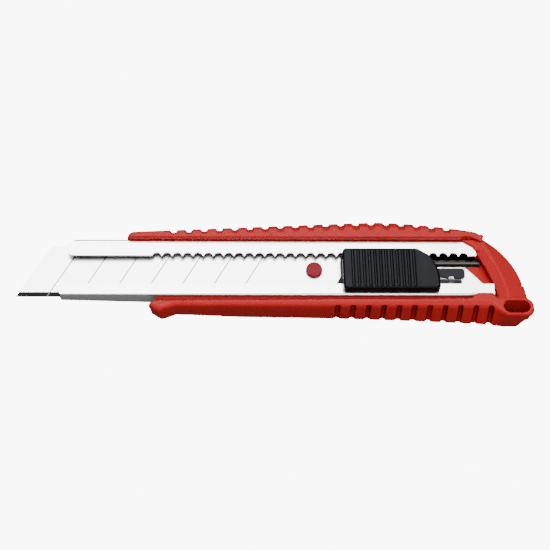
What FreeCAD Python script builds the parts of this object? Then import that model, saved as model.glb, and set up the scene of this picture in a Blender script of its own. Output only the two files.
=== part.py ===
import FreeCAD, Part
import math
import os

# Snap-off knife lying on its back, in millimetres.
# X runs from the blade's tip (-) to the butt (+), Y from the cutting edge (-) to the spine (+),
# Z from the back face (0) to the thumb button. The origin is on the flat back of the handle.

V = FreeCAD.Vector

# ---------------------------------------------------------------- driving dimensions
# blade
blade_width = 18.0
blade_length = 110.0
blade_thickness = 0.5
blade_tail_x = 7.0          # rear end of the blade at rest; its tip and the nose follow from this
blade_lead = 12.5           # tip ahead of the channel's nose
segment_pitch = 10.0
first_score = 9.5           # along the edge, from the tip
score_count = 7
score_angle = 60.0          # degrees from the cutting edge
score_width = 0.3
score_depth = 0.1
grind_width = 1.6
edge_land = 0.04            # half thickness left at the cutting edge
pin_diameter = 5.2
pin_from_tail = 15.8        # hole centre ahead of the blade's rearmost corner
pin_proud = 1.4             # pin head above the blade
shank_radius = 1.5          # pin's shank, riveted in the carrier

# steel channel
sheet = 0.6
bend_radius = 1.0
side_play = 0.55            # each side of a centred blade
blade_offset = -0.45        # blade lies towards the edge side of the channel
channel_depth = 5.6
nose_depth = 4.0
taper_length = 28.5
upper_nose_setback = 3.2
lower_nose_setback = 2.3
upper_lip = 5.95
lower_lip = 4.2
notch_pitch = 3.28
notch_depth = 1.12
notch_radius = 1.43
first_notch = 2.5           # clear of the taper's end
notches_behind = 5
lock_x = 23.0               # the tooth's notch at rest
bead_width = 3.7
bead_height = 1.4
bead_y = 4.5
bead_front = 42.5           # bead's start behind the nose
lip_corner = 1.8            # rounding of the upper lip's front corner
nose_clip = 2.5             # corner clipped off the upper wall at the nose

# handle moulding
back_plate = 1.4
rail_rise = 2.3             # rails above the lips
rail_overhang = 0.4         # top rail over the channel's corner
butt_x = 60.2
top_front = 22.0            # top rail's front end behind the nose
low_front = 28.8            # lower rail's
crown_x = 10.3
crown_reach = 6.25          # top rail's greatest height beyond the channel wall
middle_reach = 4.6
top_front_reach = 2.3
rear_reach = 2.8
ledge_width = 2.75          # open groove between channel and lower rail, at its front end
ledge_taper = 0.75          # how much narrower it is at the butt
ledge_z = 3.4
low_wall = 1.8              # lower rail's width at its front face
low_flare = 3.2             # how far its back edge leans out at the butt
finger_stop = 1.6
low_rake = 1.5              # lower rail's front end leans back
low_ease = 1.3              # easing of the lower rail's outer front edge
plate_front = 54.5          # back plate's front end behind the nose
arch_start = 65.5           # ahead of this the handle's back slopes up
arch_rise = 2.0
rib_pitch = 4.9
rib_groove = 1.9
rib_depth = 0.8
rib_pit = 0.4               # how much deeper the grooves run at the rail's front face
first_rib = 14.8            # behind the top rail's front end
slot_pitch = 4.86
slot_width = 1.5
slot_depth = 1.35
slot_back_depth = 0.7       # shallower at the back face
slot_count = 11
lanyard_length = 8.3
lanyard_width = 4.2
shoulder_fall = 2.2         # top rail's sloping shoulder, down from its front face
shoulder_share = 0.56       # share of the rail's reach that stays flat in front
back_share = 0.86           # the same at its back face
edge_round = 0.7            # easing of both rails' back edges

# end cap
cap_fit = 0.15
cap_rise = 1.2              # bridge above the lips
bridge_ceiling = 0.5        # tunnel's ceiling below the underside of the lips
ridge_width = 0.7
tenon_depth = 1.1
tenon_height = 2.4

# slider
plate_thickness = 0.6
under_plate = 0.1           # plate above the nose's floor
run_gap = 0.25              # sliding gap at lips and walls
button_length = 30.8
button_over_upper = 1.1
button_over_lower = 3.35
button_height = 3.35
button_gap = 0.15
button_corner = 1.4         # plan rounding of the front corners
button_ease = 0.8           # rounding round the top
button_rib_count = 12
first_button_rib = 2.9      # behind the button's front
button_rib_pitch = 1.77
button_rib_height = 0.45
button_rib_width = 0.6
float_travel = 0.8
stop_gap = 0.1
spring_thickness = 0.4
tail_length = 39.6          # from the button's front to the end of the block's tail

# ---------------------------------------------------------------- levels and shared places
lip_z = back_plate + channel_depth
lip_under_z = lip_z - sheet
floor_z = back_plate + sheet
nose_floor_z = lip_z - nose_depth + sheet
rail_z = lip_z + rail_rise
half_inner = blade_width / 2 + side_play
half_outer = half_inner + sheet
upper_edge_y = half_outer - upper_lip
lower_edge_y = -half_outer + lower_lip
plate_z = nose_floor_z + under_plate
blade_z = plate_z + plate_thickness
blade_top_z = blade_z + blade_thickness
tip_x = blade_tail_x - blade_length
nose_x = tip_x + blade_lead
taper_end_x = nose_x + taper_length
bead_front_x = nose_x + bead_front
top_front_x = nose_x + top_front
low_front_x = nose_x + low_front
plate_front_x = nose_x + plate_front
arch_start_x = nose_x + arch_start
first_rib_x = top_front_x + first_rib
notches_ahead = int((lock_x - taper_end_x - first_notch) / notch_pitch)
blade_low_y = blade_offset - blade_width / 2
blade_high_y = blade_offset + blade_width / 2
slant = 1 / math.tan(math.radians(score_angle))
pin_x = tip_x + blade_length - pin_from_tail
pin_y = blade_offset + 0.3
rail_inner_y = half_outer - rail_overhang
low_inner_y = -half_outer - ledge_width
low_outer_y = low_inner_y - low_wall
travel_in = notches_behind * notch_pitch


# ---------------------------------------------------------------- helpers
def box(x0, x1, y0, y1, z0, z1):
    """Upright block between two limits on each axis."""
    return Part.makeBox(x1 - x0, y1 - y0, z1 - z0, V(x0, y0, z0))


def cylinder(x, y, z0, z1, radius):
    return Part.makeCylinder(radius, z1 - z0, V(x, y, z0))


def plan_wire(start, steps, z):
    """Closed wire at height z: a 2-value step is a line, a 4-value step an arc through its first point."""
    here = V(start[0], start[1], z)
    edges = []
    for step in list(steps) + [start]:
        there = V(step[-2], step[-1], z)
        if there.distanceToPoint(here) < 1e-7:
            continue
        if len(step) == 4:
            edges.append(Part.Arc(here, V(step[0], step[1], z), there).toShape())
        else:
            edges.append(Part.LineSegment(here, there).toShape())
        here = there
    return Part.Wire(edges)


def prism(start, steps, z0, z1):
    return Part.Face(plan_wire(start, steps, z0)).extrude(V(0, 0, z1 - z0))


def polygon(points):
    corners = [V(*p) for p in points]
    return Part.Wire([Part.LineSegment(a, b).toShape() for a, b in zip(corners, corners[1:] + corners[:1])])


def extruded(points, direction):
    return Part.Face(polygon(points)).extrude(V(*direction))


def slot(x, y, z0, z1, length, width):
    """Upright through-slot with round ends, centred on x, y."""
    run = (length - width) / 2
    middle = box(x - run, x + run, y - width / 2, y + width / 2, z0, z1)
    ends = [cylinder(x + side * run, y, z0, z1, width / 2) for side in (-1, 1)]
    return middle.fuse(ends).removeSplitter()


def circle_through(a, b, c):
    """Centre and radius of the circle through three plan points."""
    curve = Part.Arc(V(*a, 0), V(*b, 0), V(*c, 0)).toShape().Curve
    return curve.Center.x, curve.Center.y, curve.Radius


def on_arc(circle, x, side):
    """Y on a circle at x, on its upper (+1) or lower (-1) half."""
    cx, cy, radius = circle
    return cy + side * math.sqrt(radius ** 2 - (x - cx) ** 2)


def one_solid(shape):
    """The shape as a single clean solid."""
    shape = shape.removeSplitter()
    if len(shape.Solids) != 1:
        raise ValueError("expected one solid, got %d" % len(shape.Solids))
    return shape.Solids[0]


def rounded(shape, radius, chosen):
    """The shape with a fillet on the edges that the test picks."""
    edges = [edge for edge in shape.Edges if chosen(edge)]
    return shape.makeFillet(radius, edges)


def lies_at(edge, z, x0=-1e3, x1=1e3, y0=-1e3, y1=1e3):
    """True when the whole edge lies at height z, inside the given plan window."""
    b = edge.BoundBox
    return (abs(b.ZMin - z) < 1e-3 and abs(b.ZMax - z) < 1e-3
            and x0 < b.XMin and b.XMax < x1 and y0 < b.YMin and b.YMax < y1)


# ---------------------------------------------------------------- blade
def make_blade():
    """Parallelogram of ground steel with scored break lines and the pin's hole."""
    lean = blade_width * slant
    tail_x = tip_x + blade_length
    blade = extruded([(tip_x, blade_low_y, blade_z), (tail_x - lean, blade_low_y, blade_z),
                      (tail_x, blade_high_y, blade_z), (tip_x + lean, blade_high_y, blade_z)],
                     (0, 0, blade_thickness))
    middle_z = blade_z + blade_thickness / 2
    for side in (-1, 1):
        face_z = middle_z + side * blade_thickness / 2
        land_z = middle_z + side * edge_land
        wedge = extruded([(tip_x - 1, blade_low_y, face_z), (tip_x - 1, blade_low_y, land_z),
                          (tip_x - 1, blade_low_y + grind_width, face_z)], (blade_length + 2, 0, 0))
        blade = blade.cut(wedge)
    for number in range(score_count):
        foot = tip_x + first_score + number * segment_pitch
        groove = extruded([(foot, blade_low_y, blade_top_z), (foot + score_width, blade_low_y, blade_top_z),
                           (foot + lean + score_width, blade_high_y, blade_top_z),
                           (foot + lean, blade_high_y, blade_top_z)], (0, 0, -score_depth))
        blade = blade.cut(groove)
    hole = cylinder(pin_x, pin_y, blade_z - 1, blade_top_z + 1, pin_diameter / 2 + run_gap / 2)
    return one_solid(blade.cut(hole))


# ---------------------------------------------------------------- steel channel
def channel_section(x, depth):
    """Closed outline of the bent sheet at one station, as a wire in a YZ plane."""
    back = lip_z - depth
    outer, inner = bend_radius, bend_radius - sheet
    diagonal = math.sqrt(0.5)

    def corner(y_side, z_side, radius, y_wall, z_wall):
        cy, cz = y_wall - y_side * radius, z_wall - z_side * radius
        flat = V(x, cy, z_wall)
        middle = V(x, cy + y_side * radius * diagonal, cz + z_side * radius * diagonal)
        wall = V(x, y_wall, cz)
        return flat, middle, wall

    low_top = corner(-1, 1, outer, -half_outer, lip_z)
    low_back = corner(-1, -1, outer, -half_outer, back)
    high_back = corner(1, -1, outer, half_outer, back)
    high_top = corner(1, 1, outer, half_outer, lip_z)
    in_high_top = corner(1, 1, inner, half_inner, lip_under_z)
    in_high_back = corner(1, -1, inner, half_inner, back + sheet)
    in_low_back = corner(-1, -1, inner, -half_inner, back + sheet)
    in_low_top = corner(-1, 1, inner, -half_inner, lip_under_z)
    runs = [low_top, low_back[::-1], high_back, high_top[::-1]]
    inner_runs = [in_high_top, in_high_back[::-1], in_low_back, in_low_top[::-1]]
    edges = []
    here = V(x, lower_edge_y, lip_z)
    start = here
    for arc in runs:
        edges.append(Part.LineSegment(here, arc[0]).toShape())
        edges.append(Part.Arc(*arc).toShape())
        here = arc[2]
    for there in (V(x, upper_edge_y, lip_z), V(x, upper_edge_y, lip_under_z)):
        edges.append(Part.LineSegment(here, there).toShape())
        here = there
    for arc in inner_runs:
        edges.append(Part.LineSegment(here, arc[0]).toShape())
        edges.append(Part.Arc(*arc).toShape())
        here = arc[2]
    for there in (V(x, lower_edge_y, lip_under_z), start):
        edges.append(Part.LineSegment(here, there).toShape())
        here = there
    return Part.Wire(edges)


def floor_end(y):
    """X of the channel floor's slanting rear edge."""
    return cap_inner_x(0.0) - 5.2 + 0.9 * (2.0 - y)


def make_channel():
    """Stainless C-channel: tapering nose, notched upper lip, stiffening bead, slanted rear floor."""
    rear = cap_inner_x(lower_edge_y) - cap_fit
    body = Part.Face(channel_section(taper_end_x, channel_depth)).extrude(V(rear - taper_end_x, 0, 0))
    nose = Part.makeLoft([channel_section(nose_x, nose_depth), channel_section(taper_end_x, channel_depth)],
                         True, True)
    channel = body.fuse(nose)
    channel = channel.fuse(bead_solid())
    reach = half_outer + 2
    lip_x = nose_x + upper_nose_setback
    bevel = lip_corner * (1 - math.sqrt(0.5))
    front_cut = prism((nose_x - 5, reach), [(lip_x + nose_clip, reach), (lip_x + nose_clip, half_outer),
                                             (lip_x, half_outer - nose_clip),
                                             (lip_x, upper_edge_y + lip_corner),
                                             (lip_x + bevel, upper_edge_y + bevel,
                                              lip_x + lip_corner, upper_edge_y),
                                             (lip_x + lip_corner, upper_edge_y - 1),
                                             (nose_x, lower_edge_y),
                                             (nose_x + lower_nose_setback, -reach),
                                             (nose_x - 5, -reach)], -1, lip_z + 1)
    channel = channel.cut(front_cut)
    notches = [cylinder(lock_x + step * notch_pitch, tooth_y, lip_under_z - 1, lip_z + 1, notch_radius)
               for step in range(-notches_ahead, notches_behind + 1)]
    channel = channel.cut(Part.makeCompound(notches))
    lip_end = cap_knee_x - cap_fit
    bead_clear_z = floor_z + bead_height + 0.2
    channel = channel.cut(box(lip_end, rear + 1, lower_edge_y + 0.5, reach, bead_clear_z, lip_z + 1))
    low_y = bead_y - bead_width / 2
    floor_cut = prism((floor_end(low_y), low_y),
                      [(floor_end(-half_inner), -half_inner), (rear + 1, -half_inner), (rear + 1, low_y)],
                      -1, bead_clear_z - 0.1)
    channel = channel.cut(floor_cut)
    channel = channel.cut(box(bead_end_x, rear + 1, low_y - 0.01, reach, -1, lip_under_z - 0.3))
    channel = channel.cut(box(lip_end, rear + 1, tunnel_high_y - cap_fit, reach, -1, lip_z + 1))
    return one_solid(channel)


def bead_solid():
    """Half-round bead pressed up in the floor, with sloping ends."""
    low, high = bead_y - bead_width / 2, bead_y + bead_width / 2
    base = floor_z - sheet / 2
    front = bead_front_x
    left, right = V(front, low, base), V(front, high, base)
    crest = V(front, bead_y, floor_z + bead_height)
    section = Part.Wire([Part.Arc(left, crest, right).toShape(), Part.LineSegment(right, left).toShape()])
    bead = Part.Face(section).extrude(V(bead_end_x - front, 0, 0))
    ramp = extruded([(front - 1, low - 2, floor_z), (front - 1, low - 2, floor_z + 9),
                     (front + 6, low - 2, floor_z + 9), (front, low - 2, floor_z)], (0, bead_width + 4, 0))
    return bead.cut(ramp)


# ---------------------------------------------------------------- end cap outline, shared with its neighbours
cap_top_x = butt_x - 21.2       # where the arm starts under the top rail
cap_knee_x = butt_x - 16.6
cap_foot_x = butt_x - 10.7
cap_low_y = low_inner_y + 0.8
knee = (cap_knee_x, upper_edge_y + 1.0)
foot = (cap_foot_x, -half_outer + 0.5)
inner_mid = ((knee[0] + foot[0]) / 2 + 0.45, (knee[1] + foot[1]) / 2 + 0.5)
inner_circle = circle_through(knee, inner_mid, foot)


def cap_inner_x(y):
    """X of the bridge's inner face at y."""
    cx, cy, radius = inner_circle
    if y > knee[1]:
        return knee[0]
    if y < foot[1]:
        return foot[0]
    return cx + math.sqrt(radius ** 2 - (y - cy) ** 2)


arm_y = half_outer - cap_fit
bead_end_x = cap_inner_x(bead_y) + 1.0
tunnel_low_y = -half_outer + 1.4
tunnel_high_y = knee[1]


# ---------------------------------------------------------------- handle moulding
rail_nose_x = butt_x - 14.05
crown_left = (top_front_x + 2.0, half_outer + top_front_reach)
crown_mid = (top_front_x + 43.5, half_outer + middle_reach)
crown_top = (crown_x, half_outer + crown_reach)
crown_fall = (crown_x + 20.0, half_outer + crown_reach - 1.4)
crown_end = (butt_x - 17.7, half_outer + rear_reach)
front_crown = circle_through(crown_left, crown_mid, crown_top)
rear_crown = circle_through(crown_top, crown_fall, crown_end)


def crown_y(x):
    """Height of the top rail's outer contour at x."""
    return on_arc(front_crown if x < crown_x else rear_crown, x, 1)


def top_rail_outline(z, share, setback):
    """Top rail's outline with its crown drawn in to a share of its reach and its ends set back."""
    def drawn(point):
        return point[0], half_outer + (point[1] - half_outer) * share

    front = top_front_x + setback
    rear = rail_nose_x - setback
    steps = [(front, half_outer + 0.6 * share),
             (front + 0.5, half_outer + 1.5 * share, *drawn(crown_left)),
             (*drawn(crown_mid), *drawn(crown_top)),
             (*drawn(crown_fall), *drawn(crown_end)),
             (rear - 1.05, half_outer + 1.5 * share, rear, half_outer)]
    return plan_wire((front, half_outer), steps, z)


def top_rail_body():
    """Top rail over the channel's upper wall: eased at the back, with a sloping shoulder at the front."""
    levels = [(0.0, back_share, edge_round), (edge_round, 1.0, 0.0), (rail_z - shoulder_fall, 1.0, 0.0),
              (rail_z - shoulder_fall / 2, (2 + shoulder_share) / 3, 0.2), (rail_z, shoulder_share, 0.8)]
    wires = [top_rail_outline(*level) for level in levels]
    slabs = [Part.makeLoft([low, high], True, True) for low, high in zip(wires, wires[1:])]
    return slabs[0].fuse(slabs[1:])


def low_rail_outline(z, inset=0.0):
    """Outer outline of the lower rail and butt: upright at the butt, leaning out along the grip."""
    share = 1 - z / rail_z
    main = low_outer_y + inset
    stop_y = main - finger_stop
    flare = low_flare * share
    tip = low_front_x + low_rake * share + inset
    step_x = butt_x - 13.5
    block_y = low_outer_y - low_flare - 0.2 + inset / 2
    end_x = butt_x - inset / 2
    corner_x = end_x - 2.7 - 2.0 * share
    start = (tip + 0.9, low_inner_y)
    steps = [(tip, low_inner_y - 1.4),
             (tip + 2.4, stop_y + 0.35),
             (tip + 3.4, stop_y - 0.05, tip + 4.8, stop_y + 0.35),
             (low_front_x + 9.0, main + 0.02),
             (-2.0, main - 0.22 * flare, step_x, main - 0.92 * flare),
             (step_x + 4.6, block_y),
             (corner_x, block_y),
             (corner_x + 2.6 - 0.5 * share, block_y + 0.9 + 0.9 * share, end_x - 0.15 * share, block_y + 2.9),
             (end_x - 0.25, low_inner_y - 0.6, end_x - 1.7, cap_low_y)]
    return start, steps


def low_rail_body():
    """Lower rail and butt block as one solid, its outer edges eased front and back."""
    ramp_x = butt_x - 19.8
    inner = [(cap_foot_x - 0.9, cap_low_y), (cap_foot_x - 2.1, -half_outer),
             (ramp_x + 2.0, -half_outer), (ramp_x, low_inner_y + ledge_taper)]
    shoulder = 0.3 * low_ease
    levels = [(0.0, edge_round), (edge_round, 0.0), (rail_z - low_ease, 0.0), (rail_z - shoulder, shoulder),
              (rail_z, low_ease)]
    wires = []
    for z, inset in levels:
        start, steps = low_rail_outline(z, inset)
        wires.append(plan_wire(start, steps + inner, z))
    slabs = [Part.makeLoft([a, b], True, True) for a, b in zip(wires, wires[1:])]
    return slabs[0].fuse(slabs[1:])


def back_plane_cut():
    """Wedge that slopes the handle's back up towards the front, and trims nothing else."""
    front = top_front_x - 5
    slope = arch_rise / (arch_start_x - plate_front_x + 17.0)
    rise = slope * (arch_start_x - front)
    return extruded([(arch_start_x, -40, 0), (front, -40, rise), (front, -40, -1), (arch_start_x, -40, -1)],
                    (0, 80, 0))


def make_handle():
    """One red moulding: two ribbed rails joined by a back plate behind the channel."""
    top = top_rail_body()
    low = low_rail_body()
    plate_rear = cap_knee_x - cap_fit
    plate_foot_x = cap_inner_x(tunnel_low_y) - cap_fit
    web_front = low_front_x + low_rake + 1.0
    plate = box(plate_front_x, plate_rear, -half_outer - 0.5, half_outer + 0.5, 0, back_plate)
    plate_tail = prism((plate_rear - 2, half_outer),
                       [(plate_rear, half_outer), (plate_rear, tunnel_high_y - cap_fit),
                        (cap_knee_x + 5.6, tunnel_high_y - cap_fit),
                        (butt_x - 8.0, 0.0, butt_x - 4.4, tunnel_low_y + cap_fit),
                        (plate_foot_x, tunnel_low_y + cap_fit),
                        (plate_foot_x, cap_low_y),
                        (plate_rear - 2, cap_low_y)], 0, back_plate)
    ledge = box(web_front, butt_x - 17.0, low_inner_y - 0.5, -half_outer, 0, ledge_z)
    lid = box(top_front_x + 1.0, cap_top_x - 0.2, rail_inner_y, half_outer + 1.0, lip_z + 0.02, rail_z)
    hook = prism((cap_top_x + 2.0, half_outer + 0.3),
                 [(rail_nose_x - 1.6, half_outer - 1.5),
                  (rail_nose_x - 0.7, half_outer - 1.5, rail_nose_x - 0.4, half_outer - 0.8),
                  (rail_nose_x, half_outer + 0.1), (rail_nose_x - 0.4, half_outer + 0.8)],
                 lip_z + cap_rise + cap_fit, rail_z)
    body = top.fuse([low, plate, plate_tail, ledge, lid, hook]).removeSplitter()
    for number in range(rib_groove_count()):
        body = body.cut(rib_cutter(first_rib_x + number * rib_pitch))
    for number in range(slot_count):
        body = body.cut(slot_cutter(butt_x - 13.5 - (slot_count - 1 - number) * slot_pitch))
    body = body.cut(slot(butt_x - 5.6, low_inner_y - 2.05, -1, rail_z + 1, lanyard_length, lanyard_width))
    body = body.cut(back_plane_cut())
    return one_solid(body.cut(cap_tenon(cap_fit)))


def rib_groove_count():
    return int((butt_x - 25.4 - first_rib_x) / rib_pitch) + 1


def rib_cutter(x):
    """Groove across the top rail's outer face, carried up over its shoulder."""
    reach = crown_y(x) - half_outer
    side_y = crown_y(x) - rib_depth
    front_y = half_outer + reach * shoulder_share - rib_depth - rib_pit
    slope = (front_y - side_y) / shoulder_fall
    profile = [(x - rib_groove / 2, side_y + 9, -1), (x - rib_groove / 2, side_y, -1),
               (x - rib_groove / 2, side_y, rail_z - shoulder_fall),
               (x - rib_groove / 2, front_y + slope, rail_z + 1),
               (x - rib_groove / 2, side_y + 9, rail_z + 1)]
    return extruded(profile, (rib_groove, 0, 0))


def low_side_y(x, z):
    """Y of the lower rail's outer face, between its finger stop and the butt."""
    steps = low_rail_outline(z)[1]
    begin, arc = steps[3], steps[4]
    if abs(arc[1] - begin[1]) < 0.05:
        return begin[1]
    return on_arc(circle_through(begin, arc[:2], arc[2:]), x, 1)


def slot_cutter(x):
    """Upright grip groove in the lower rail's outer face, closed just under the front face."""
    top_z = rail_z - 0.8
    top_y, back_y = low_side_y(x, rail_z), low_side_y(x, 0.0)
    lean = (back_y - top_y) / rail_z
    profile = [(x - slot_width / 2, top_y + slot_depth + lean * (rail_z - top_z), top_z),
               (x - slot_width / 2, top_y - 3, top_z),
               (x - slot_width / 2, back_y - 3, -1),
               (x - slot_width / 2, back_y + slot_back_depth, -1)]
    return extruded(profile, (slot_width, 0, 0))


# ---------------------------------------------------------------- end cap
def cap_tenon(growth):
    """Tongue on the cap's arm that slides along the top rail, outside the channel's wall."""
    low_z = floor_z + 0.4 - growth
    high_z = low_z + tenon_height + 2 * growth
    rear = butt_x if growth else rail_nose_x - 1.2
    return box(cap_top_x + 0.6 - growth, rear, half_outer + cap_fit - growth,
               half_outer + tenon_depth + growth, low_z, high_z)


def cap_edge(z):
    """Cap's plan outline where its upright sides end."""
    foot_y = cap_low_y + cap_fit
    bend_y = -half_outer + 4.4
    steps = [(cap_knee_x + 3.1, arm_y),
             (butt_x - 12.8, arm_y - 0.45),
             (butt_x - 6.6, 3.2, butt_x - 2.6, bend_y),
             (butt_x - 2.9, bend_y - 0.6),
             (butt_x - 2.1, bend_y - 0.9),
             (butt_x - 1.25, foot_y),
             (cap_foot_x, foot_y),
             foot,
             (*inner_mid, *knee)]
    return plan_wire((cap_knee_x, arm_y), steps, z)


def cap_ridge(z):
    """Narrow top of the bridge: one point for each of the outline's."""
    foot_y = cap_low_y + cap_fit
    bend_y = -half_outer + 4.4
    w = ridge_width
    steps = [(cap_knee_x + 1.3 + w, arm_y),
             (cap_knee_x + 1.5 + w, arm_y - 0.6),
             (butt_x - 11.9 + w, 2.2, butt_x - 9.0 + w, bend_y - 0.1),
             (butt_x - 9.0 + w, bend_y - 0.6),
             (butt_x - 8.8 + w, bend_y - 0.9),
             (butt_x - 7.9 + w, foot_y),
             (butt_x - 7.9, foot_y),
             (butt_x - 8.1, foot[1]),
             (butt_x - 11.7, 1.6, cap_knee_x + 1.9, knee[1] + 1.6)]
    return plan_wire((cap_knee_x + 1.0, arm_y), steps, z)


def make_end_cap():
    """Ridged bridge across the open rear end, with an arm under the top rail and a foot on the butt."""
    shoulder_z = lip_z - 0.4
    lower = Part.Face(cap_edge(0)).extrude(V(0, 0, shoulder_z))
    roof = Part.makeLoft([cap_edge(shoulder_z), cap_ridge(lip_z + cap_rise)], True, True)
    cap = lower.fuse(roof)
    ceiling = lip_under_z - bridge_ceiling
    cap = cap.cut(box(cap_knee_x - 1, butt_x + 1, tunnel_low_y, tunnel_high_y, -1, ceiling))
    web_y = arm_y - 0.35
    gusset = prism((cap_top_x, web_y), [(cap_knee_x - 1.2, half_outer - 2.75), (cap_knee_x, knee[1] + 0.5),
                                        (cap_knee_x + 1.5, knee[1] + 0.5), (cap_knee_x + 1.5, web_y)],
                   lip_z + 0.1, lip_z + cap_rise - 0.3)
    root = box(cap_knee_x + 0.4, rail_nose_x - 1.2, arm_y - 1.0, half_outer + tenon_depth,
               floor_z + 0.4, floor_z + 0.4 + tenon_height)
    return one_solid(cap.fuse([gusset, cap_tenon(0.0), root]))


# ---------------------------------------------------------------- slider
block_low_y = -half_inner + 0.8
block_wing_y = 1.6
neck_low_y = lower_edge_y + run_gap
neck_high_y = upper_edge_y - run_gap
strip_low_y, strip_high_y = 2.0, 3.9
button_z = lip_z + button_gap
button_top_z = button_z + button_height
hump_x = lock_x - 5.0
neck_lead = 0.4
plug_height = 1.4
pocket_rear_x = button_length - 6.0
stop_x = 9.0
tab_low_y, tab_high_y = -4.2, -1.2
tab_length = 2.0
leaf_z = lip_under_z - 0.85
tooth_y = upper_edge_y + notch_depth - notch_radius


def make_carrier():
    """Steel plate under the blade, with feet on the floor and a tab that stops the button's float."""
    reach = pin_diameter / 2 + 1.1
    front_x = pin_x - reach
    half = blade_width / 2 - 0.6
    rear_x = cap_knee_x - travel_in - 0.6
    plate = prism((front_x, blade_offset - 4), [(front_x, blade_offset + 4),
                                               (front_x + 4.4, blade_offset + half),
                                               (rear_x - 3, blade_offset + half),
                                               (rear_x, blade_offset + half - 3),
                                               (rear_x, blade_offset - half + 3),
                                               (rear_x - 3, blade_offset - half),
                                               (front_x + 4.4, blade_offset - half)], plate_z, blade_z)
    feet = [cylinder(rear_x - 2.6, y, floor_z + 0.05, plate_z + 0.1, 0.6) for y in (-7.2, 7.2)]
    tab = box(stop_x, stop_x + tab_length, tab_low_y, tab_high_y, plate_z + 0.1, lip_under_z - 0.5)
    carrier = plate.fuse(feet + [tab])
    return one_solid(carrier.cut(cylinder(pin_x, pin_y, plate_z - 1, blade_z + 1, shank_radius)))


def make_pin():
    """Red pin head standing through the blade, riveted into the carrier by its shank."""
    head = cylinder(pin_x, pin_y, blade_z, blade_top_z + pin_proud, pin_diameter / 2)
    head = rounded(head, 0.35, lambda e: lies_at(e, blade_top_z + pin_proud))
    return one_solid(head.fuse(cylinder(pin_x, pin_y, plate_z, blade_z, shank_radius)))


def make_block():
    """Slide block: wings under the lips, neck up through the window, tail out behind the button."""
    wing_top = lip_under_z - run_gap
    base_z = blade_z + 0.1
    front_x = tip_x + blade_length + 0.4
    wings = box(front_x, button_length - 4.0, block_low_y, block_wing_y, base_z, wing_top)
    neck = box(-neck_lead, pocket_rear_x, neck_low_y, neck_high_y, wing_top - 0.05, button_z)
    plug = box(neck_lead, pocket_rear_x, neck_low_y, neck_high_y, button_z - 0.1, button_z + plug_height)
    beak = prism((0.6, -1.2), [(-1.9, neck_low_y + 0.3), (0.6, neck_low_y)], blade_top_z + 0.1, wing_top)
    top, low = 0.4, -2.5
    tail = prism((button_length - 4.5, top),
                 [(tail_length - 0.6, top), (tail_length, top - 0.6), (tail_length, low),
                  (tail_length - 0.5, low - 0.5), (tail_length - 3.2, low - 0.5),
                  (tail_length - 3.6, low + 0.4),
                  (tail_length - 4.8, low + 0.4), (tail_length - 5.4, low - 0.6),
                  (tail_length - 6.6, low), (button_length - 4.5, low)], base_z + 0.1, lip_under_z - 0.9)
    block = wings.fuse([neck, plug, beak, tail])
    room = float_travel + stop_gap
    pocket = box(stop_x - room, stop_x + tab_length + room,
                 tab_low_y - run_gap, tab_high_y + run_gap, base_z - 1, lip_under_z - 0.3)
    hump_groove = Part.makeCylinder(0.85, 4.0, V(hump_x, strip_low_y - 1.0, wing_top - 0.1), V(0, 1, 0))
    return one_solid(block.cut(pocket).cut(hump_groove))


def make_spring():
    """Leaf spring: foot on the carrier, rising leaf with a cam hump, tooth up in a lip notch."""
    foot_x = tip_x + blade_length + 1.2
    t = spring_thickness
    width = strip_high_y - strip_low_y
    leaf = extruded([(foot_x, strip_low_y, blade_z), (foot_x + 3, strip_low_y, blade_z),
                     (foot_x + 6.5, strip_low_y, leaf_z), (lock_x + 1.3, strip_low_y, leaf_z),
                     (lock_x + 1.3, strip_low_y, leaf_z + t), (foot_x + 6.3, strip_low_y, leaf_z + t),
                     (foot_x + 2.8, strip_low_y, blade_z + t), (foot_x, strip_low_y, blade_z + t)],
                    (0, width, 0))
    hump = Part.makeCylinder(0.55, width, V(hump_x, strip_low_y, leaf_z + t - 0.1), V(0, 1, 0))
    hump = hump.common(box(hump_x - 1, hump_x + 1, strip_low_y, strip_high_y, leaf_z + 0.1, lip_z))
    arm = box(lock_x - 1.2, lock_x + 1.3, strip_high_y - 0.5, upper_edge_y + notch_depth - 0.2,
              leaf_z, leaf_z + t)
    tooth = cylinder(lock_x, tooth_y, leaf_z, lip_z - 0.1, notch_radius - 0.18)
    tooth = tooth.common(box(lock_x - 3, lock_x + 3, upper_edge_y + 0.15, half_inner, leaf_z, lip_z))
    return one_solid(leaf.fuse([hump, arm, tooth]))


def make_button():
    """Thumb button: ribbed black cap over the block's neck, its rear end shaped to the cap's bridge."""
    high, low = upper_edge_y + button_over_upper, lower_edge_y - button_over_lower
    base = [(button_length - 6.8, high),
            (button_length - 2.6, high - 2.7),
            (button_length - 0.5, high - 7.4, button_length, high - 12.6),
            (button_length - 0.2, low + 0.6, button_length - 1.6, low)]
    body = prism((0.0, low), [(0.0, high)] + base, button_z, button_top_z)
    body = rounded(body, button_corner, lambda e: e.BoundBox.ZLength > 1 and e.BoundBox.XMax < 0.1)
    body = rounded(body, button_ease, lambda e: lies_at(e, button_top_z))
    starts = [first_button_rib + number * button_rib_pitch for number in range(button_rib_count)]
    ribs = [box(x, x + button_rib_width, low + 0.9, high - 0.9, button_top_z - 0.3,
                button_top_z + button_rib_height) for x in starts]
    body = body.fuse(ribs)
    pocket = box(neck_lead, pocket_rear_x, neck_low_y, neck_high_y, button_z - 1, button_z + plug_height)
    return one_solid(body.cut(pocket))


# ---------------------------------------------------------------- build
makers = {"blade": make_blade, "channel": make_channel, "handle": make_handle, "end_cap": make_end_cap,
          "blade_carrier": make_carrier, "blade_pin": make_pin, "slide_block": make_block,
          "lock_spring": make_spring, "thumb_button": make_button}

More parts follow.
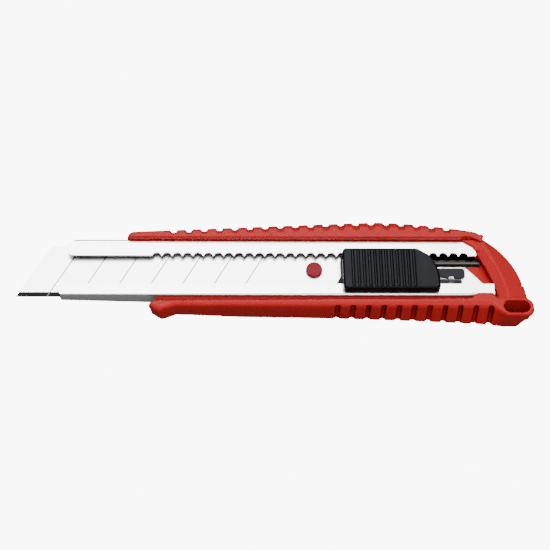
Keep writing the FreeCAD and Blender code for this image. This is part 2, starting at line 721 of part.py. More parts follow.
if __name__ == "__main__":
    os.makedirs("parts", exist_ok=True)
    for name, make in makers.items():
        solid = make()
        print(name, solid.isValid(), round(solid.Volume, 1), solid.BoundBox)
        solid.exportStep("parts/%s.step" % name)
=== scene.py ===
import math

import bmesh
import bpy
from bpy.props import FloatProperty, FloatVectorProperty, IntProperty, PointerProperty
from bpy.types import Operator, Panel, PropertyGroup
from mathutils import Matrix, Vector


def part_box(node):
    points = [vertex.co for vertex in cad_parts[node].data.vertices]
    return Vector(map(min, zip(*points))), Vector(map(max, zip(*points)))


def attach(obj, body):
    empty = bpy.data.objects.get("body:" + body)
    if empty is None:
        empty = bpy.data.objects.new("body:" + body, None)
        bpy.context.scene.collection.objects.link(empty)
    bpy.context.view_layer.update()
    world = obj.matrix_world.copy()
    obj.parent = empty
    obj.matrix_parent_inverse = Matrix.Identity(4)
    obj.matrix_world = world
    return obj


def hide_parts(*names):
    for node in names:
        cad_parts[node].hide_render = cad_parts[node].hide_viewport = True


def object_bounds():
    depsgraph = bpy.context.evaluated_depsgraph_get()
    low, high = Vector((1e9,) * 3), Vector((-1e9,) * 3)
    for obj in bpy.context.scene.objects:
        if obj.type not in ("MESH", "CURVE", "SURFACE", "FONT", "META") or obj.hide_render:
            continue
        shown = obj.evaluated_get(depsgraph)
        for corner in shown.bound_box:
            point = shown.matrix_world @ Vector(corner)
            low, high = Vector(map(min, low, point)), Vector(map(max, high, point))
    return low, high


bl_info = {
    "name": "Snap-off Knife",
    "version": (1, 0, 0),
    "blender": (4, 5, 0),
    "location": "View3D > Sidebar > Knife",
    "description": "Builds the looks of a snap-off knife on its packed frame",
    "category": "Object",
}

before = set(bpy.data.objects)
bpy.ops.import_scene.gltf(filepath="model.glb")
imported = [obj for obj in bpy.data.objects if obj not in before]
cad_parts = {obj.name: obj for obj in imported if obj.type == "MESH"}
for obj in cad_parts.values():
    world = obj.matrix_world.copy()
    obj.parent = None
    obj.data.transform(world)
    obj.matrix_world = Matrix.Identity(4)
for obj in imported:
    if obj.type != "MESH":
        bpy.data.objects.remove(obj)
CAD_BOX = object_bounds()
MM = 0.001

BREAK_ANGLE = math.radians(60.0)      # break lines against the cutting edge
FIRST_SCORE = 9.5 * MM                # along the edge, from the tip
SCORE_SHIFT = 0.15 * MM               # of the painted lines along the edge
SCORE_START = -1.0 * MM               # painted from here to SCORE_END, measured from the first line
SCORE_END = 65.0 * MM
SCORE_CLEAR = 0.25 * MM               # half width of a line where it fades out
SCORE_FULL = 0.16 * MM                # half width of a line where it is full
GRIND_FADE = 0.05 * MM
LIP_SHEET = 0.62 * MM                 # the upper lip's sheet, and a hair more
BEAD_SIDE = 2.7 * MM
WALL_INSET = 0.3 * MM
CAP_GRID = 1.3                        # shares of the small grid
BUTTON_GRID = 0.84
SMALL_PASSES = 3
SHADED = 0.7                          # share of a black or grey moulding's colour in its slow tint
# painted shade: the blade's ground bevel at the cutting edge is painted near black
BEVEL_SHADE_BLACK = (0.004, 0.004, 0.0045)
# painted shade: the break lines are painted dark grey over their grooves
SCORE_SHADE_GREY = (0.05, 0.045, 0.05)
# painted shade inside the channel, under its upper lip
INNER_SHADE_GREY = (0.06, 0.055, 0.052)
CARRIER_STEEL = (0.62, 0.62, 0.64)
BLADE_LINES = (60.0, 5200.0, 900.0)   # stretch of the rolled lines along X, Y and Z
GROUND_LINES = (5200.0, 60.0, 900.0)
CHANNEL_LINES = (40.0, 4200.0, 4200.0)
HIDDEN_LINES = (60.0, 3800.0, 900.0)


# ---------------------------------------------------------------- settings
class KnifeSizes(PropertyGroup):
    moulding_grid: FloatProperty(
        name="Moulding Grid", description="Mesh spacing of the softened mouldings",
        default=0.32 * MM, min=0.0002, unit="LENGTH", precision=5)
    moulding_passes: IntProperty(
        name="Moulding Passes", description="Smoothing passes that soften the mouldings' edges",
        default=5, min=0)
    moulding_share: FloatProperty(
        name="Moulding Share", description="Share of the handle's faces kept after remeshing", default=0.86,
        min=0.1, max=1.0)
    small_grid: FloatProperty(
        name="Small Grid", description="Mesh spacing of the small mouldings",
        default=0.16 * MM, min=0.0001, unit="LENGTH", precision=5)
    score_pitch: FloatProperty(
        name="Segment Pitch", description="Spacing of the blade's break lines along the edge",
        default=10.0 * MM, unit="LENGTH", precision=5)
    grind: FloatProperty(
        name="Grind Width", description="Width of the ground band at the cutting edge",
        default=1.6 * MM, unit="LENGTH", precision=5)


class KnifeColours(PropertyGroup):
    red: FloatVectorProperty(
        name="Handle Red", description="Moulding colour of handle and end cap", subtype="COLOR", size=3,
        min=0.0, max=1.0, default=(0.66, 0.026, 0.027))
    # dark end of the red's slow tint; 0.22 of it is the painted shade in the hollows
    red_deep: FloatVectorProperty(
        name="Deep Red", description="Colour in the hollows of the red mouldings", subtype="COLOR", size=3,
        min=0.0, max=1.0, default=(0.56, 0.018, 0.019))
    pin_red: FloatVectorProperty(
        name="Pin Red", description="Colour of the blade pin", subtype="COLOR", size=3,
        min=0.0, max=1.0, default=(0.38, 0.016, 0.034))
    black: FloatVectorProperty(
        name="Button Black", description="Colour of the thumb button", subtype="COLOR", size=3,
        min=0.0, max=1.0, default=(0.0045, 0.0055, 0.009))
    block: FloatVectorProperty(
        name="Block Grey", description="Colour of the slide block", subtype="COLOR", size=3,
        min=0.0, max=1.0, default=(0.030, 0.027, 0.036))
    blade: FloatVectorProperty(
        name="Blade Steel", description="Colour of the blade's flat", subtype="COLOR", size=3,
        min=0.0, max=1.0, default=(0.90, 0.885, 0.88))
    channel: FloatVectorProperty(
        name="Channel Steel", description="Colour of the bent channel", subtype="COLOR", size=3,
        min=0.0, max=1.0, default=(0.93, 0.93, 0.935))
    spring: FloatVectorProperty(
        name="Spring Steel", description="Colour of the blued spring", subtype="COLOR", size=3,
        min=0.0, max=1.0, default=(0.10, 0.11, 0.15))


class KnifeStage(PropertyGroup):
    yaw: FloatProperty(
        name="Yaw", description="Camera's turn about the vertical of the view",
        subtype="ANGLE", default=0.0516)
    tilt: FloatProperty(
        name="Tilt", description="Camera's lean off the vertical",
        subtype="ANGLE", default=0.4841)
    roll: FloatProperty(
        name="Roll", description="Camera's roll",
        subtype="ANGLE", default=-0.0225)
    distance: FloatProperty(
        name="Distance", description="Camera to subject",
        unit="LENGTH", default=0.484498)
    aim: FloatVectorProperty(
        name="Aim", description="Subject point in the frame",
        subtype="TRANSLATION", size=3, default=(-0.021075, -0.000546, -0.001))
    shift_right: FloatProperty(
        name="Shift Right", description="Camera's offset to its right",
        unit="LENGTH", default=0.0000042, precision=7)
    shift_up: FloatProperty(
        name="Shift Up", description="Camera's offset upwards",
        unit="LENGTH", default=0.00167, precision=5)
    lens: FloatProperty(
        name="Lens", description="Focal length in millimetres on a 36 mm sensor",
        default=98.18)
    key_power: FloatProperty(
        name="Key Power", description="Power of the large soft light overhead",
        unit="POWER", default=5.0)
    fill_power: FloatProperty(
        name="Fill Power", description="Power of the front fill",
        unit="POWER", default=2.5)
    card_power: FloatProperty(
        name="Card Power", description="Power of the card that the steel reflects",
        unit="POWER", default=9.0)
    world_level: FloatProperty(
        name="World Level", description="Brightness of the surrounding studio",
        default=0.16)
    floor_glow: FloatProperty(
        name="Floor Glow", description="How far the floor is lit to white behind the knife",
        default=9.0)


# ---------------------------------------------------------------- shader node groups
def socket(group, name, kind, way, default=None):
    made = group.interface.new_socket(name=name, in_out=way, socket_type=kind)
    if default is not None:
        made.default_value = default


def noise_node(nodes, scale, detail, roughness):
    node = nodes.new("ShaderNodeTexNoise")
    node.inputs["Scale"].default_value = scale
    node.inputs["Detail"].default_value = detail
    node.inputs["Roughness"].default_value = roughness
    return node


def math_node(nodes, operation, value=None, clamp=False):
    node = nodes.new("ShaderNodeMath")
    node.operation = operation
    node.use_clamp = clamp
    if value is not None:
        node.inputs[1].default_value = value
    return node


def varied(nodes, links, noise, level, spread):
    """A level that wanders with a noise output by a spread, kept between 0 and 1."""
    centred = math_node(nodes, "SUBTRACT", 0.5)
    links.new(noise, centred.inputs[0])
    scaled = math_node(nodes, "MULTIPLY")
    links.new(centred.outputs[0], scaled.inputs[0])
    links.new(spread, scaled.inputs[1])
    total = math_node(nodes, "ADD", clamp=True)
    links.new(scaled.outputs[0], total.inputs[0])
    links.new(level, total.inputs[1])
    return total.outputs[0]


def moulded_grain():
    """Fine moulded texture: a height, a slow tint mask and a roughness that varies a little."""
    name = "Moulded Grain"
    if name in bpy.data.node_groups:
        return bpy.data.node_groups[name]
    group = bpy.data.node_groups.new(name, "ShaderNodeTree")
    socket(group, "Grain Scale", "NodeSocketFloat", "INPUT", 2600.0)
    socket(group, "Roughness", "NodeSocketFloat", "INPUT", 0.4)
    socket(group, "Spread", "NodeSocketFloat", "INPUT", 0.12)
    socket(group, "Height", "NodeSocketFloat", "OUTPUT")
    socket(group, "Tint", "NodeSocketFloat", "OUTPUT")
    socket(group, "Roughness", "NodeSocketFloat", "OUTPUT")
    nodes, links = group.nodes, group.links
    gin, gout = nodes.new("NodeGroupInput"), nodes.new("NodeGroupOutput")
    place = nodes.new("ShaderNodeTexCoord")
    fine = noise_node(nodes, 2600.0, 3.0, 0.6)
    slow = noise_node(nodes, 90.0, 4.0, 0.55)
    smear = noise_node(nodes, 420.0, 2.0, 0.5)
    links.new(gin.outputs["Grain Scale"], fine.inputs["Scale"])
    for texture in (fine, slow, smear):
        links.new(place.outputs["Object"], texture.inputs["Vector"])
    rough = varied(nodes, links, smear.outputs["Fac"], gin.outputs["Roughness"], gin.outputs["Spread"])
    links.new(fine.outputs["Fac"], gout.inputs["Height"])
    links.new(slow.outputs["Fac"], gout.inputs["Tint"])
    links.new(rough, gout.inputs["Roughness"])
    return group


def rolled_lines():
    """Fine lines of rolled or brushed steel along one axis: a mask and a height."""
    name = "Rolled Lines"
    if name in bpy.data.node_groups:
        return bpy.data.node_groups[name]
    group = bpy.data.node_groups.new(name, "ShaderNodeTree")
    socket(group, "Stretch", "NodeSocketVector", "INPUT", BLADE_LINES)
    socket(group, "Roughness", "NodeSocketFloat", "INPUT", 0.25)
    socket(group, "Spread", "NodeSocketFloat", "INPUT", 0.15)
    socket(group, "Lines", "NodeSocketFloat", "OUTPUT")
    socket(group, "Roughness", "NodeSocketFloat", "OUTPUT")
    nodes, links = group.nodes, group.links
    gin, gout = nodes.new("NodeGroupInput"), nodes.new("NodeGroupOutput")
    place = nodes.new("ShaderNodeTexCoord")
    stretch = nodes.new("ShaderNodeVectorMath")
    stretch.operation = "MULTIPLY"
    links.new(place.outputs["Object"], stretch.inputs[0])
    links.new(gin.outputs["Stretch"], stretch.inputs[1])
    lines = noise_node(nodes, 1.0, 4.0, 0.6)
    links.new(stretch.outputs[0], lines.inputs["Vector"])
    rough = varied(nodes, links, lines.outputs["Fac"], gin.outputs["Roughness"], gin.outputs["Spread"])
    links.new(lines.outputs["Fac"], gout.inputs["Lines"])
    links.new(rough, gout.inputs["Roughness"])
    return group


def edge_wear_and_glint():
    """Mask of sharp outer edges, broken up so that it is uneven: rubbed edges, and on the button's ribs also
    a painted highlight.
    """
    name = "Edge Wear"
    if name in bpy.data.node_groups:
        return bpy.data.node_groups[name]
    group = bpy.data.node_groups.new(name, "ShaderNodeTree")
    socket(group, "Start", "NodeSocketFloat", "INPUT", 0.52)
    socket(group, "End", "NodeSocketFloat", "INPUT", 0.60)
    socket(group, "Amount", "NodeSocketFloat", "INPUT", 0.5)
    socket(group, "Glint And Wear", "NodeSocketFloat", "OUTPUT")
    nodes, links = group.nodes, group.links
    gin, gout = nodes.new("NodeGroupInput"), nodes.new("NodeGroupOutput")
    shape = nodes.new("ShaderNodeNewGeometry")
    spot = nodes.new("ShaderNodeTexCoord")
    patch = noise_node(nodes, 700.0, 4.0, 0.65)
    links.new(spot.outputs["Object"], patch.inputs["Vector"])
    ramp = nodes.new("ShaderNodeMapRange")
    links.new(shape.outputs["Pointiness"], ramp.inputs["Value"])
    links.new(gin.outputs["Start"], ramp.inputs["From Min"])
    links.new(gin.outputs["End"], ramp.inputs["From Max"])
    broken = math_node(nodes, "MULTIPLY")
    links.new(ramp.outputs["Result"], broken.inputs[0])
    links.new(patch.outputs["Fac"], broken.inputs[1])
    share = math_node(nodes, "MULTIPLY", clamp=True)
    links.new(broken.outputs[0], share.inputs[0])
    links.new(gin.outputs["Amount"], share.inputs[1])
    links.new(share.outputs[0], gout.inputs["Glint And Wear"])
    return group


def hollow_shade():
    """Mask of narrow hollows, where painted shade darkens the colour."""
    name = "Hollow Shade"
    if name in bpy.data.node_groups:
        return bpy.data.node_groups[name]
    group = bpy.data.node_groups.new(name, "ShaderNodeTree")
    socket(group, "Reach", "NodeSocketFloat", "INPUT", 1.6 * MM)
    socket(group, "Amount", "NodeSocketFloat", "INPUT", 1.0)
    socket(group, "Hollow", "NodeSocketFloat", "OUTPUT")
    nodes, links = group.nodes, group.links
    gin, gout = nodes.new("NodeGroupInput"), nodes.new("NodeGroupOutput")
    occlusion = nodes.new("ShaderNodeAmbientOcclusion")
    occlusion.samples = 16
    occlusion.only_local = True
    links.new(gin.outputs["Reach"], occlusion.inputs["Distance"])
    ramp = nodes.new("ShaderNodeMapRange")
    ramp.inputs["From Min"].default_value = 0.90
    ramp.inputs["From Max"].default_value = 0.45
    links.new(occlusion.outputs["AO"], ramp.inputs["Value"])
    share = math_node(nodes, "MULTIPLY", clamp=True)
    links.new(ramp.outputs["Result"], share.inputs[0])
    links.new(gin.outputs["Amount"], share.inputs[1])
    links.new(share.outputs[0], gout.inputs["Hollow"])
    return group


def placed(nodes, group, **values):
    node = nodes.new("ShaderNodeGroup")
    node.node_tree = group
    for name, value in values.items():
        node.inputs[name.replace("_", " ")].default_value = value
    return node


def blank_material(name):
    material = bpy.data.materials.new(name)
    material.use_nodes = True
    nodes = material.node_tree.nodes
    return material, nodes, material.node_tree.links, nodes["Principled BSDF"]


def tinted(nodes, links, mask, first, second):
    """A colour blended between two colours by a mask output."""
    mix = nodes.new("ShaderNodeMix")
    mix.data_type = "RGBA"
    mix.inputs["A"].default_value = (*first, 1.0)
    mix.inputs["B"].default_value = (*second, 1.0)
    links.new(mask, mix.inputs["Factor"])
    return mix.outputs["Result"]


def over(nodes, links, below, mask, colour):
    """A plain colour laid over a colour output where a mask output is high."""
    mix = nodes.new("ShaderNodeMix")
    mix.data_type = "RGBA"
    mix.inputs["B"].default_value = (*colour, 1.0)
    links.new(below, mix.inputs["A"])
    links.new(mask, mix.inputs["Factor"])
    return mix.outputs["Result"]


def plastic(name, colour, shade, roughness, grain=2600.0, bump=0.05, wear_and_glint=0.12, shine=0.07, hollow=0.95,
            rub_and_glint=0.02):
    """Moulded plastic: slow tint, painted shade in the hollows, pale edges that are rubbed and partly painted
    highlight, uneven gloss and a fine moulded bump.
    """
    material, nodes, links, shader = blank_material(name)
    shader.inputs["Specular IOR Level"].default_value = shine
    grain_node = placed(nodes, moulded_grain(), Grain_Scale=grain, Roughness=roughness, Spread=0.14)
    worn_and_lit = placed(nodes, edge_wear_and_glint(), Start=0.515, End=0.60, Amount=wear_and_glint)
    hollows = placed(nodes, hollow_shade(), Reach=2.8 * MM, Amount=hollow)
    base = tinted(nodes, links, grain_node.outputs["Tint"], shade, colour)
    # painted shade: hollows darkened to 0.22 of the shade colour
    painted_hollow_shade = over(nodes, links, base, hollows.outputs["Hollow"], [value * 0.22 for value in shade])
    # painted highlight and rubbed wear: sharp edges paled, strongest on the button's ribs
    pale = over(nodes, links, painted_hollow_shade, worn_and_lit.outputs["Glint And Wear"], [min(1.0, value * 1.25 + rub_and_glint) for value in colour])
    links.new(pale, shader.inputs["Base Color"])
    links.new(grain_node.outputs["Roughness"], shader.inputs["Roughness"])
    bump_node = nodes.new("ShaderNodeBump")
    bump_node.inputs["Strength"].default_value = bump
    bump_node.inputs["Distance"].default_value = 0.0001
    links.new(grain_node.outputs["Height"], bump_node.inputs["Height"])
    links.new(bump_node.outputs["Normal"], shader.inputs["Normal"])
    return material


def steel(name, colour, roughness, stretch, spread=0.12, bump=0.04, reach=4.0 * MM):
    """Rolled steel with fine lines along the stretched axis, with painted shade darkening its hollows."""
    material, nodes, links, shader = blank_material(name)
    shader.inputs["Metallic"].default_value = 1.0
    lines = placed(nodes, rolled_lines(), Stretch=stretch, Roughness=roughness, Spread=spread)
    hollows = placed(nodes, hollow_shade(), Reach=reach, Amount=0.95)
    rolled = tinted(nodes, links, lines.outputs["Lines"], [value * 0.90 for value in colour], colour)
    # painted shade: the hollows darkened to 0.05 of the steel's colour
    shade_painted = over(nodes, links, rolled, hollows.outputs["Hollow"], [value * 0.05 for value in colour])
    links.new(shade_painted, shader.inputs["Base Color"])
    links.new(lines.outputs["Roughness"], shader.inputs["Roughness"])
    bump_node = nodes.new("ShaderNodeBump")
    bump_node.inputs["Strength"].default_value = bump
    bump_node.inputs["Distance"].default_value = 0.00005
    links.new(lines.outputs["Lines"], bump_node.inputs["Height"])
    links.new(bump_node.outputs["Normal"], shader.inputs["Normal"])
    return material


def dress(node, material):
    """Gives a CAD node its material in every slot."""
    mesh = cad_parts[node].data
    if not mesh.materials:
        mesh.materials.append(material)
    for number in range(len(mesh.materials)):
        mesh.materials[number] = material


# ---------------------------------------------------------------- mesh helpers
def new_piece(name, bm, material, body, node):
    """Finishes a bmesh as a piece that stands for a CAD node and rides its body."""
    mesh = bpy.data.meshes.new(name)
    bm.to_mesh(mesh)
    bm.free()
    mesh.materials.append(material)
    piece = bpy.data.objects.new(name, mesh)
    bpy.context.scene.collection.objects.link(piece)
    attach(piece, body)
    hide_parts(node)
    return piece


def softened(node, grid, passes, share=1.0):
    """A merged copy of a CAD node, remeshed on an even grid, smoothed and thinned to a share of its faces."""
    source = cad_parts[node]
    bm = bmesh.new()
    bm.from_mesh(source.data)
    bmesh.ops.remove_doubles(bm, verts=bm.verts, dist=1e-7)
    bmesh.ops.recalc_face_normals(bm, faces=bm.faces)
    mesh = bpy.data.meshes.new("working")
    bm.to_mesh(mesh)
    bm.free()
    working = bpy.data.objects.new("working", mesh)
    bpy.context.scene.collection.objects.link(working)
    remesh = working.modifiers.new("Grid", "REMESH")
    remesh.mode = "VOXEL"
    remesh.voxel_size = grid
    soften = working.modifiers.new("Soften", "SMOOTH")
    soften.factor = 0.5
    soften.iterations = passes
    if share < 1.0:
        thin = working.modifiers.new("Thin", "DECIMATE")
        thin.ratio = share
    bpy.context.view_layer.update()
    ready = working.evaluated_get(bpy.context.evaluated_depsgraph_get())
    bm = bmesh.new()
    bm.from_mesh(ready.to_mesh())
    ready.to_mesh_clear()
    bpy.data.objects.remove(working)
    bpy.data.meshes.remove(mesh)
    for face in bm.faces:
        face.smooth = True
    return bm


# ---------------------------------------------------------------- operators
class KNIFE_OT_blade(Operator):
    """Finish the blade: rolled flat, cross-ground edge band painted near black as shade, and break lines
    painted dark as shade in their grooves
    """
    bl_idname = "knife.blade"
    bl_label = "Blade"

    def execute(self, context):
        sizes, colours = context.scene.knife_sizes, context.scene.knife_colours
        material, nodes, links, shader = blank_material("Blade Steel")
        shader.inputs["Metallic"].default_value = 1.0
        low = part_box("blade")[0]
        flat = placed(nodes, rolled_lines(), Stretch=BLADE_LINES, Roughness=0.30, Spread=0.12)
        ground = placed(nodes, rolled_lines(), Stretch=GROUND_LINES, Roughness=0.38, Spread=0.2)
        place = nodes.new("ShaderNodeTexCoord")
        split = nodes.new("ShaderNodeSeparateXYZ")
        links.new(place.outputs["Object"], split.inputs[0])
        band = nodes.new("ShaderNodeMapRange")
        band.inputs["From Min"].default_value = low.y + sizes.grind
        band.inputs["From Max"].default_value = low.y + sizes.grind - GRIND_FADE
        links.new(split.outputs["Y"], band.inputs["Value"])
        colour = tinted(nodes, links, flat.outputs["Lines"], [value * 0.93 for value in colours.blade],
                        colours.blade)
        # painted shade: the ground band at the edge painted near black
        dark = over(nodes, links, colour, band.outputs["Result"], BEVEL_SHADE_BLACK)
        lean = math_node(nodes, "MULTIPLY", -1 / math.tan(BREAK_ANGLE))
        height = math_node(nodes, "SUBTRACT", low.y)
        links.new(split.outputs["Y"], height.inputs[0])
        links.new(height.outputs[0], lean.inputs[0])
        along = math_node(nodes, "ADD")
        links.new(split.outputs["X"], along.inputs[0])
        links.new(lean.outputs[0], along.inputs[1])
        start = math_node(nodes, "SUBTRACT", low.x + FIRST_SCORE + SCORE_SHIFT)
        links.new(along.outputs[0], start.inputs[0])
        fold = math_node(nodes, "PINGPONG", sizes.score_pitch / 2)
        links.new(start.outputs[0], fold.inputs[0])
        line = nodes.new("ShaderNodeMapRange")
        line.inputs["From Min"].default_value = SCORE_CLEAR
        line.inputs["From Max"].default_value = SCORE_FULL
        links.new(fold.outputs[0], line.inputs["Value"])
        last = math_node(nodes, "LESS_THAN", SCORE_END)
        links.new(start.outputs[0], last.inputs[0])
        first = math_node(nodes, "GREATER_THAN", SCORE_START)
        links.new(start.outputs[0], first.inputs[0])
        inside = math_node(nodes, "MULTIPLY")
        links.new(last.outputs[0], inside.inputs[0])
        links.new(first.outputs[0], inside.inputs[1])
        scored = math_node(nodes, "MULTIPLY")
        links.new(line.outputs["Result"], scored.inputs[0])
        links.new(inside.outputs[0], scored.inputs[1])
        # painted shade: the break lines painted dark grey over their grooves
        score_shaded = over(nodes, links, dark, scored.outputs[0], SCORE_SHADE_GREY)
        links.new(score_shaded, shader.inputs["Base Color"])
        rough = nodes.new("ShaderNodeMix")
        rough.data_type = "FLOAT"
        links.new(band.outputs["Result"], rough.inputs["Factor"])
        links.new(flat.outputs["Roughness"], rough.inputs["A"])
        links.new(ground.outputs["Roughness"], rough.inputs["B"])
        links.new(rough.outputs["Result"], shader.inputs["Roughness"])
        dress("blade", material)
        return {"FINISHED"}


def inner_shade():
    """Mask of the channel between the floor's bead and the upper wall, from below the lip down.

    It has no lower bound and no ends, so it takes in the outer back face and the nose too.
    """
    name = "Inner Shade"
    if name in bpy.data.node_groups:
        return bpy.data.node_groups[name]
    group = bpy.data.node_groups.new(name, "ShaderNodeTree")
    socket(group, "Lip", "NodeSocketFloat", "INPUT", 6.4 * MM)
    socket(group, "Bead", "NodeSocketFloat", "INPUT", BEAD_SIDE)
    socket(group, "Wall", "NodeSocketFloat", "INPUT", 9.8 * MM)
    socket(group, "Inside", "NodeSocketFloat", "OUTPUT")
    nodes, links = group.nodes, group.links
    gin, gout = nodes.new("NodeGroupInput"), nodes.new("NodeGroupOutput")
    place = nodes.new("ShaderNodeTexCoord")
    split = nodes.new("ShaderNodeSeparateXYZ")
    links.new(place.outputs["Object"], split.inputs[0])
    under = math_node(nodes, "LESS_THAN")
    links.new(split.outputs["Z"], under.inputs[0])
    links.new(gin.outputs["Lip"], under.inputs[1])
    above = math_node(nodes, "GREATER_THAN")
    links.new(split.outputs["Y"], above.inputs[0])
    links.new(gin.outputs["Bead"], above.inputs[1])
    below = math_node(nodes, "LESS_THAN")
    links.new(split.outputs["Y"], below.inputs[0])
    links.new(gin.outputs["Wall"], below.inputs[1])
    between = math_node(nodes, "MULTIPLY")
    links.new(above.outputs[0], between.inputs[0])
    links.new(below.outputs[0], between.inputs[1])
    inside = math_node(nodes, "MULTIPLY")
    links.new(under.outputs[0], inside.inputs[0])
    links.new(between.outputs[0], inside.inputs[1])
    links.new(inside.outputs[0], gout.inputs["Inside"])
    return group


class KNIFE_OT_channel(Operator):
    """Finish the bent steel channel, with painted shade in the band under its upper lip"""
    bl_idname = "knife.channel"
    bl_label = "Channel"

    def execute(self, context):
        colours = context.scene.knife_colours
        material = steel("Channel Steel", colours.channel, 0.28, CHANNEL_LINES)
        nodes, links = material.node_tree.nodes, material.node_tree.links
        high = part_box("channel")[1]
        base = nodes["Principled BSDF"].inputs["Base Color"]
        inner = placed(nodes, inner_shade(), Lip=high.z - LIP_SHEET, Bead=BEAD_SIDE,
                       Wall=high.y - WALL_INSET)
        # painted shade: the band under the upper lip painted dark grey
        shade_painted = over(nodes, links, base.links[0].from_socket, inner.outputs["Inside"], INNER_SHADE_GREY)
        links.new(shade_painted, base)
        dress("channel", material)
        return {"FINISHED"}


class KNIFE_OT_handle(Operator):
    """Build the softened red handle moulding"""
    bl_idname = "knife.handle"
    bl_label = "Handle"

    def execute(self, context):
        sizes, colours = context.scene.knife_sizes, context.scene.knife_colours
        bm = softened("handle", sizes.moulding_grid, sizes.moulding_passes, sizes.moulding_share)
        material = plastic("Handle Red", colours.red, colours.red_deep, 0.36)
        new_piece("handle_moulding", bm, material, "handle_body", "handle")
        return {"FINISHED"}


class KNIFE_OT_end_cap(Operator):
    """Build the softened red end cap"""
    bl_idname = "knife.end_cap"
    bl_label = "End Cap"

    def execute(self, context):
        sizes, colours = context.scene.knife_sizes, context.scene.knife_colours
        bm = softened("end_cap", sizes.small_grid * CAP_GRID, sizes.moulding_passes)
        material = plastic("Cap Red", colours.red, colours.red_deep, 0.5, wear_and_glint=0.05)
        new_piece("end_cap_moulding", bm, material, "cap", "end_cap")
        return {"FINISHED"}


class KNIFE_OT_button(Operator):
    """Build the ribbed thumb button and finish the block below it"""
    bl_idname = "knife.button"
    bl_label = "Thumb Button"

    def execute(self, context):
        sizes, colours = context.scene.knife_sizes, context.scene.knife_colours
        bm = softened("thumb_button", sizes.small_grid * BUTTON_GRID, SMALL_PASSES)
        # the strong edge paling here is a painted highlight on the rib edges, with some rubbed wear
        material = plastic("Button Black", colours.black, [value * SHADED for value in colours.black], 0.33,
                           wear_and_glint=1.8, rub_and_glint=0.05)
        new_piece("thumb_button_moulding", bm, material, "button", "thumb_button")
        grey = plastic("Block Grey", colours.block, [value * SHADED for value in colours.block], 0.45)
        dress("slide_block", grey)
        return {"FINISHED"}


class KNIFE_OT_pin(Operator):
    """Build the softened red blade pin"""
    bl_idname = "knife.pin"
    bl_label = "Blade Pin"

    def execute(self, context):
        sizes, colours = context.scene.knife_sizes, context.scene.knife_colours
        bm = softened("blade_pin", sizes.small_grid, SMALL_PASSES)
        material = plastic("Pin Red", colours.pin_red, [value * 0.8 for value in colours.pin_red], 0.42)
        new_piece("blade_pin_moulding", bm, material, "slider", "blade_pin")
        return {"FINISHED"}


class KNIFE_OT_hidden_steel(Operator):
    """Finish the carrier plate and the lock spring"""
    bl_idname = "knife.hidden_steel"
    bl_label = "Carrier and Spring"

    def execute(self, context):
        colours = context.scene.knife_colours
        dress("blade_carrier", steel("Carrier Steel", CARRIER_STEEL, 0.34, HIDDEN_LINES))
        dress("lock_spring", steel("Spring Steel", colours.spring, 0.3, HIDDEN_LINES))
        return {"FINISHED"}


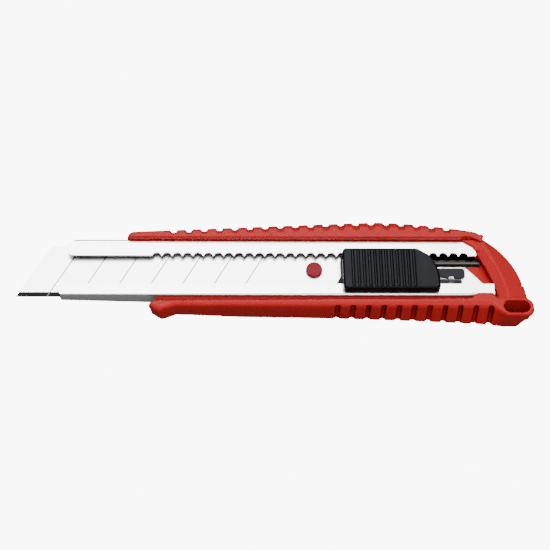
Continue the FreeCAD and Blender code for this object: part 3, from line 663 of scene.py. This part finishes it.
class KNIFE_OT_stage(Operator):
    """Set the pale floor, the soft lights and the camera"""
    bl_idname = "knife.stage"
    bl_label = "Stage"

    def execute(self, context):
        stage = context.scene.knife_stage
        bm = bmesh.new()
        bmesh.ops.create_grid(bm, x_segments=1, y_segments=1, size=2.0)
        mesh = bpy.data.meshes.new("floor")
        bm.to_mesh(mesh)
        bm.free()
        floor = bpy.data.objects.new("floor", mesh)
        floor.location.z = CAD_BOX[0].z - 0.02 * MM
        context.scene.collection.objects.link(floor)
        material, nodes, links, shader = blank_material("Pale Floor")
        shader.inputs["Base Color"].default_value = (0.14, 0.14, 0.14, 1.0)
        shader.inputs["Roughness"].default_value = 0.9
        shader.inputs["Emission Color"].default_value = (1.0, 1.0, 1.0, 1.0)
        seen = nodes.new("ShaderNodeLightPath")
        glow = math_node(nodes, "MULTIPLY", stage.floor_glow)
        links.new(seen.outputs["Is Camera Ray"], glow.inputs[0])
        links.new(glow.outputs[0], shader.inputs["Emission Strength"])
        floor.data.materials.append(material)

        world = bpy.data.worlds.new("Studio")
        world.use_nodes = True
        world.node_tree.nodes["Background"].inputs["Color"].default_value = (1.0, 1.0, 1.0, 1.0)
        world.node_tree.nodes["Background"].inputs["Strength"].default_value = stage.world_level
        context.scene.world = world

        for name, power, place, size in (("key", stage.key_power, (-0.15, 0.05, 0.8), 0.35),
                                         ("fill", stage.fill_power, (0.15, -0.45, 0.7), 0.4),
                                         ("card", stage.card_power, (-0.03, 0.42, 0.75), 0.55)):
            light = bpy.data.lights.new(name, "AREA")
            light.energy = power
            light.size = size
            lamp = bpy.data.objects.new(name, light)
            lamp.location = place
            lamp.rotation_mode = "QUATERNION"
            lamp.rotation_quaternion = Vector(place).to_track_quat("Z", "Y")
            context.scene.collection.objects.link(lamp)
            if name == "card":
                lamp.visible_diffuse = False

        out = Vector((-math.sin(stage.yaw) * math.cos(stage.tilt), -math.sin(stage.tilt),
                      math.cos(stage.yaw) * math.cos(stage.tilt)))
        level = Vector((0.0, 1.0, 0.0)).cross(out).normalized()
        rise = out.cross(level)
        right = math.cos(stage.roll) * level + math.sin(stage.roll) * rise
        top = -math.sin(stage.roll) * level + math.cos(stage.roll) * rise
        spot = Vector(stage.aim) + out * stage.distance + right * stage.shift_right + top * stage.shift_up
        lens = bpy.data.cameras.new("camera")
        lens.sensor_width = 36.0
        lens.lens = stage.lens
        lens.clip_start = 0.01
        lens.clip_end = 20.0
        camera = bpy.data.objects.new("camera", lens)
        context.scene.collection.objects.link(camera)
        camera.rotation_mode = "QUATERNION"
        camera.rotation_quaternion = Matrix((right, top, out)).transposed().to_quaternion()
        camera.location = spot
        context.scene.camera = camera
        return {"FINISHED"}


class KNIFE_PT_panel(Panel):
    """Sizes, colours and build steps of the knife"""
    bl_idname = "KNIFE_PT_panel"
    bl_label = "Snap-off Knife"
    bl_space_type = "VIEW_3D"
    bl_region_type = "UI"
    bl_category = "Knife"

    def draw(self, context):
        layout = self.layout
        for group in (context.scene.knife_sizes, context.scene.knife_colours, context.scene.knife_stage):
            box = layout.box()
            for name in group.__annotations__:
                box.prop(group, name)
        for step in STEPS:
            layout.operator(step.bl_idname)


STEPS = (KNIFE_OT_blade, KNIFE_OT_channel, KNIFE_OT_handle, KNIFE_OT_end_cap, KNIFE_OT_button, KNIFE_OT_pin,
         KNIFE_OT_hidden_steel, KNIFE_OT_stage)
CLASSES = (KnifeSizes, KnifeColours, KnifeStage, *STEPS, KNIFE_PT_panel)


def register():
    for item in CLASSES:
        bpy.utils.register_class(item)
    bpy.types.Scene.knife_sizes = PointerProperty(type=KnifeSizes)
    bpy.types.Scene.knife_colours = PointerProperty(type=KnifeColours)
    bpy.types.Scene.knife_stage = PointerProperty(type=KnifeStage)


def unregister():
    del bpy.types.Scene.knife_stage
    del bpy.types.Scene.knife_colours
    del bpy.types.Scene.knife_sizes
    for item in reversed(CLASSES):
        bpy.utils.unregister_class(item)


def main():
    register()
    bpy.ops.knife.blade()
    bpy.ops.knife.channel()
    bpy.ops.knife.handle()
    bpy.ops.knife.end_cap()
    bpy.ops.knife.button()
    bpy.ops.knife.pin()
    bpy.ops.knife.hidden_steel()
    bpy.ops.knife.stage()


if __name__ == "__main__":
    main()
